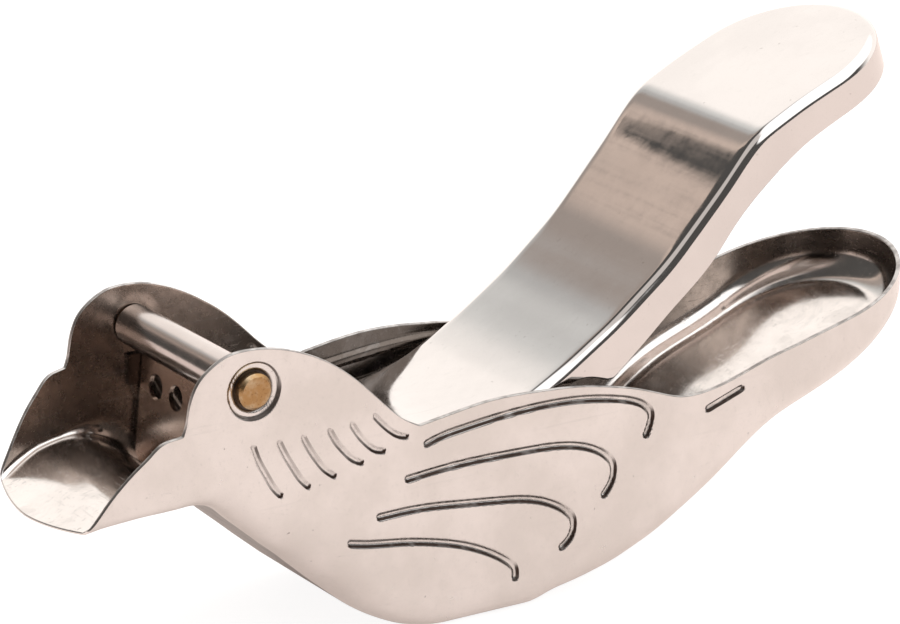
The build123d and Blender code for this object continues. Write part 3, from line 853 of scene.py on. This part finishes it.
put(shell,
    steel("body_steel", tint=(0.69, 0.675, 0.665), tint_b=(0.615, 0.60, 0.585), rough=0.23,
          # soil and painted shade along the lines, eye and rim; painted shade on grazing
          # undersides
          with_soil_and_shade=True, wave=0.00002, shade=0.72),
    steel("body_inside", tint=(0.70, 0.67, 0.65), tint_b=(0.61, 0.58, 0.56), rough=0.13,
          # painted shade on the inside walls
          speck=0.3, scratch=0.8, relief=0.3, wave=0.00003, wall_shade_tint=(0.43, 0.36, 0.315),
          stain=0.2, streak=0.45))
put(lever,
    steel("lever_steel", tint=(0.645, 0.625, 0.615), tint_b=(0.61, 0.59, 0.58), rough=0.07,
          speck=0.2, scratch=0.3, relief=0.045, wave=0.000018, shade=0.3),
    # painted shade: the lever's underside is a darker tint of the same steel, with painted light
    # toward the handle end
    steel("lever_inside", tint=(0.34, 0.29, 0.26), tint_b=(0.29, 0.25, 0.22), rough=0.2,
          speck=0.4, scratch=0.6, wave=0.00004, bright_end=(0.82, 0.79, 0.77)))
put(parts["strainer_plate"],
    steel("plate_steel", tint=(0.60, 0.48, 0.41), tint_b=(0.46, 0.36, 0.31), rough=0.26,
          # painted shadow along the sides of the plate
          speck=0.6, scratch=0.6, shadow_edge=0.0192, wave=0.00004))
put(parts["pivot_sleeve"],
    steel("sleeve_steel", tint=(0.53, 0.485, 0.465), tint_b=(0.49, 0.445, 0.425), rough=0.19,
          speck=0.2, scratch=0.25, grain=(500, 20, 500), relief=0.08))
put(parts["pivot_pin"], brass("pin_brass"))

# soft edges on the remaining parts: bevel width in metres
for part, width in (("strainer_plate", 0.00012), ("pivot_sleeve", 0.0001),
                    ("pivot_pin", 0.00015)):
    bevel = parts[part].modifiers.new("soft_edges", "BEVEL")
    bevel.width, bevel.segments = width, 2
    bevel.limit_method, bevel.angle_limit = "ANGLE", math.radians(40)
    bevel.harden_normals = True
    polygons = parts[part].data.polygons
    polygons.foreach_set("use_smooth", [True] * len(polygons))


# ---- floor -------------------------------------------------------------------
def floor_material():
    """bright and pale to the camera, with a faint shadow; a warmer white to the metal"""
    material = bpy.data.materials.new("pale_floor")
    nodes = Nodes(material)
    output = nodes.node("ShaderNodeOutputMaterial")

    def lit(colour, glow, strength):
        diffuse = nodes.node("ShaderNodeBsdfDiffuse", Color=colour)
        emission = nodes.node("ShaderNodeEmission", Color=glow, Strength=strength)
        return nodes.node("ShaderNodeAddShader", diffuse.outputs[0],
                          emission.outputs[0]).outputs[0]

    to_metal = lit(colour=(0.668, 0.584, 0.547), glow=(1, 0.88, 0.82), strength=0.45)
    to_camera = lit(colour=(0.3, 0.3, 0.3), glow=(1, 1, 1), strength=0.86)
    seen = nodes.node("ShaderNodeLightPath").outputs["Is Camera Ray"]
    shader = nodes.node("ShaderNodeMixShader", seen, to_metal, to_camera)
    nodes.feed(output.inputs[0], shader.outputs[0])
    return material


mesh = bpy.data.meshes.new("floor")
mesh.from_pydata([(-4, -4, 0), (4, -4, 0), (4, 4, 0), (-4, 4, 0)], [], [(0, 1, 2, 3)])
floor = bpy.data.objects.new("floor", mesh)
scene.collection.objects.link(floor)
put(floor, floor_material())

# ---- studio ------------------------------------------------------------------
DARK = (0.11, 0.105, 0.10)
# (azimuth where it begins, where it is full, colour), from left to right; the wide white
# panel stands behind and to the right, with greys and a tan strip left of it
PANELS = [
    (-25.05, -24.45, (0.88, 0.71, 0.605)),
    (-23.8, -19.0, (0.50, 0.43, 0.385)),
    (-14.5, -9.5, (0.68, 0.67, 0.65)),
    (-9.5, -4.0, (0.95, 0.94, 0.91)),
    (-5.0, 4.5, (1.53, 1.45, 1.38)),
    (95.0, 125.0, DARK),
]

world = bpy.data.worlds.new("studio")
scene.world = world
nodes = Nodes(world)
output = nodes.node("ShaderNodeOutputWorld")
sky = nodes.node("ShaderNodeTexCoord").outputs["Generated"]
sky_x, sky_y, sky_z = nodes.axes(sky)
# degrees: azimuth is 0 toward +Y and 90 toward +X
azimuth = nodes.math("DEGREES", nodes.math("ARCTAN2", sky_x, sky_y))
elevation = nodes.math("DEGREES", nodes.math("ARCSINE", sky_z))


def softbox(direction, outer, inner):
    """round light: full within inner degrees of its direction, gone at outer"""
    node = nodes.node("ShaderNodeVectorMath", sky, tuple(Vector(direction).normalized()))
    node.operation = "DOT_PRODUCT"
    return nodes.ramp(node.outputs["Value"], start=math.cos(math.radians(outer)),
                      end=math.cos(math.radians(inner)))


panels = DARK
for start, end, tint in PANELS:
    panels = nodes.mix(nodes.ramp(azimuth, start, end), panels, tint)
panel_area = nodes.multiply(nodes.ramp(elevation, start=64.0, end=50.0),
                            nodes.ramp(azimuth, start=160.0, end=150.0))
colour = nodes.mix(panel_area, DARK, panels)
over = softbox((0.38, -0.12, 0.93), outer=44, inner=35)
front = softbox((0.25, -0.56, 0.79), outer=34, inner=29)
left = softbox((-0.45, -0.2, 0.87), outer=25, inner=19)
colour = nodes.mix(left, colour, (0.85, 0.79, 0.75))
colour = nodes.mix(nodes.largest(over, front), colour, (1.95, 1.92, 1.90))
# the floor goes on to the horizon
colour = nodes.mix(nodes.ramp(elevation, start=0.5, end=-0.5), colour, (1.0, 0.87, 0.81))
background = nodes.node("ShaderNodeBackground", Color=colour, Strength=1.0)
nodes.feed(output.inputs[0], background.outputs[0])

scene.view_settings.view_transform = "Standard"
scene.view_settings.look = "None"
scene.view_settings.exposure = 0.0

# ---- camera ------------------------------------------------------------------
TURN, RAISE = math.radians(-32.5), 0.31988546505592214
# mm from the bird's eye on the near wall: back, and how far the eye is right of and above
# the middle of the view
DISTANCE, EYE_RIGHT, EYE_UP = 750.0507603693163, -31.909127231448117, -12.890677240885099
right = Vector((math.cos(TURN), math.sin(TURN), 0))
up = Vector((-math.sin(TURN) * math.sin(RAISE), math.cos(TURN) * math.sin(RAISE),
             math.cos(RAISE)))
back = Vector((math.sin(TURN) * math.cos(RAISE), -math.cos(TURN) * math.cos(RAISE),
               math.sin(RAISE)))
bird_eye = Vector(PIVOT - [0.0, BODY_HALF, 0.0])
place = (bird_eye - right * EYE_RIGHT - up * EYE_UP + back * DISTANCE) * 0.001
camera = bpy.data.cameras.new("camera")
camera.sensor_width, camera.sensor_fit, camera.lens = 36.0, "HORIZONTAL", 184.0983
camera.clip_start, camera.clip_end = 0.01, 50.0
camera_object = bpy.data.objects.new("camera", camera)
rotation = Matrix((right, up, back)).transposed().to_4x4()
camera_object.matrix_world = Matrix.Translation(place) @ rotation
scene.collection.objects.link(camera_object)
scene.camera = camera_object

bpy.context.view_layer.update()
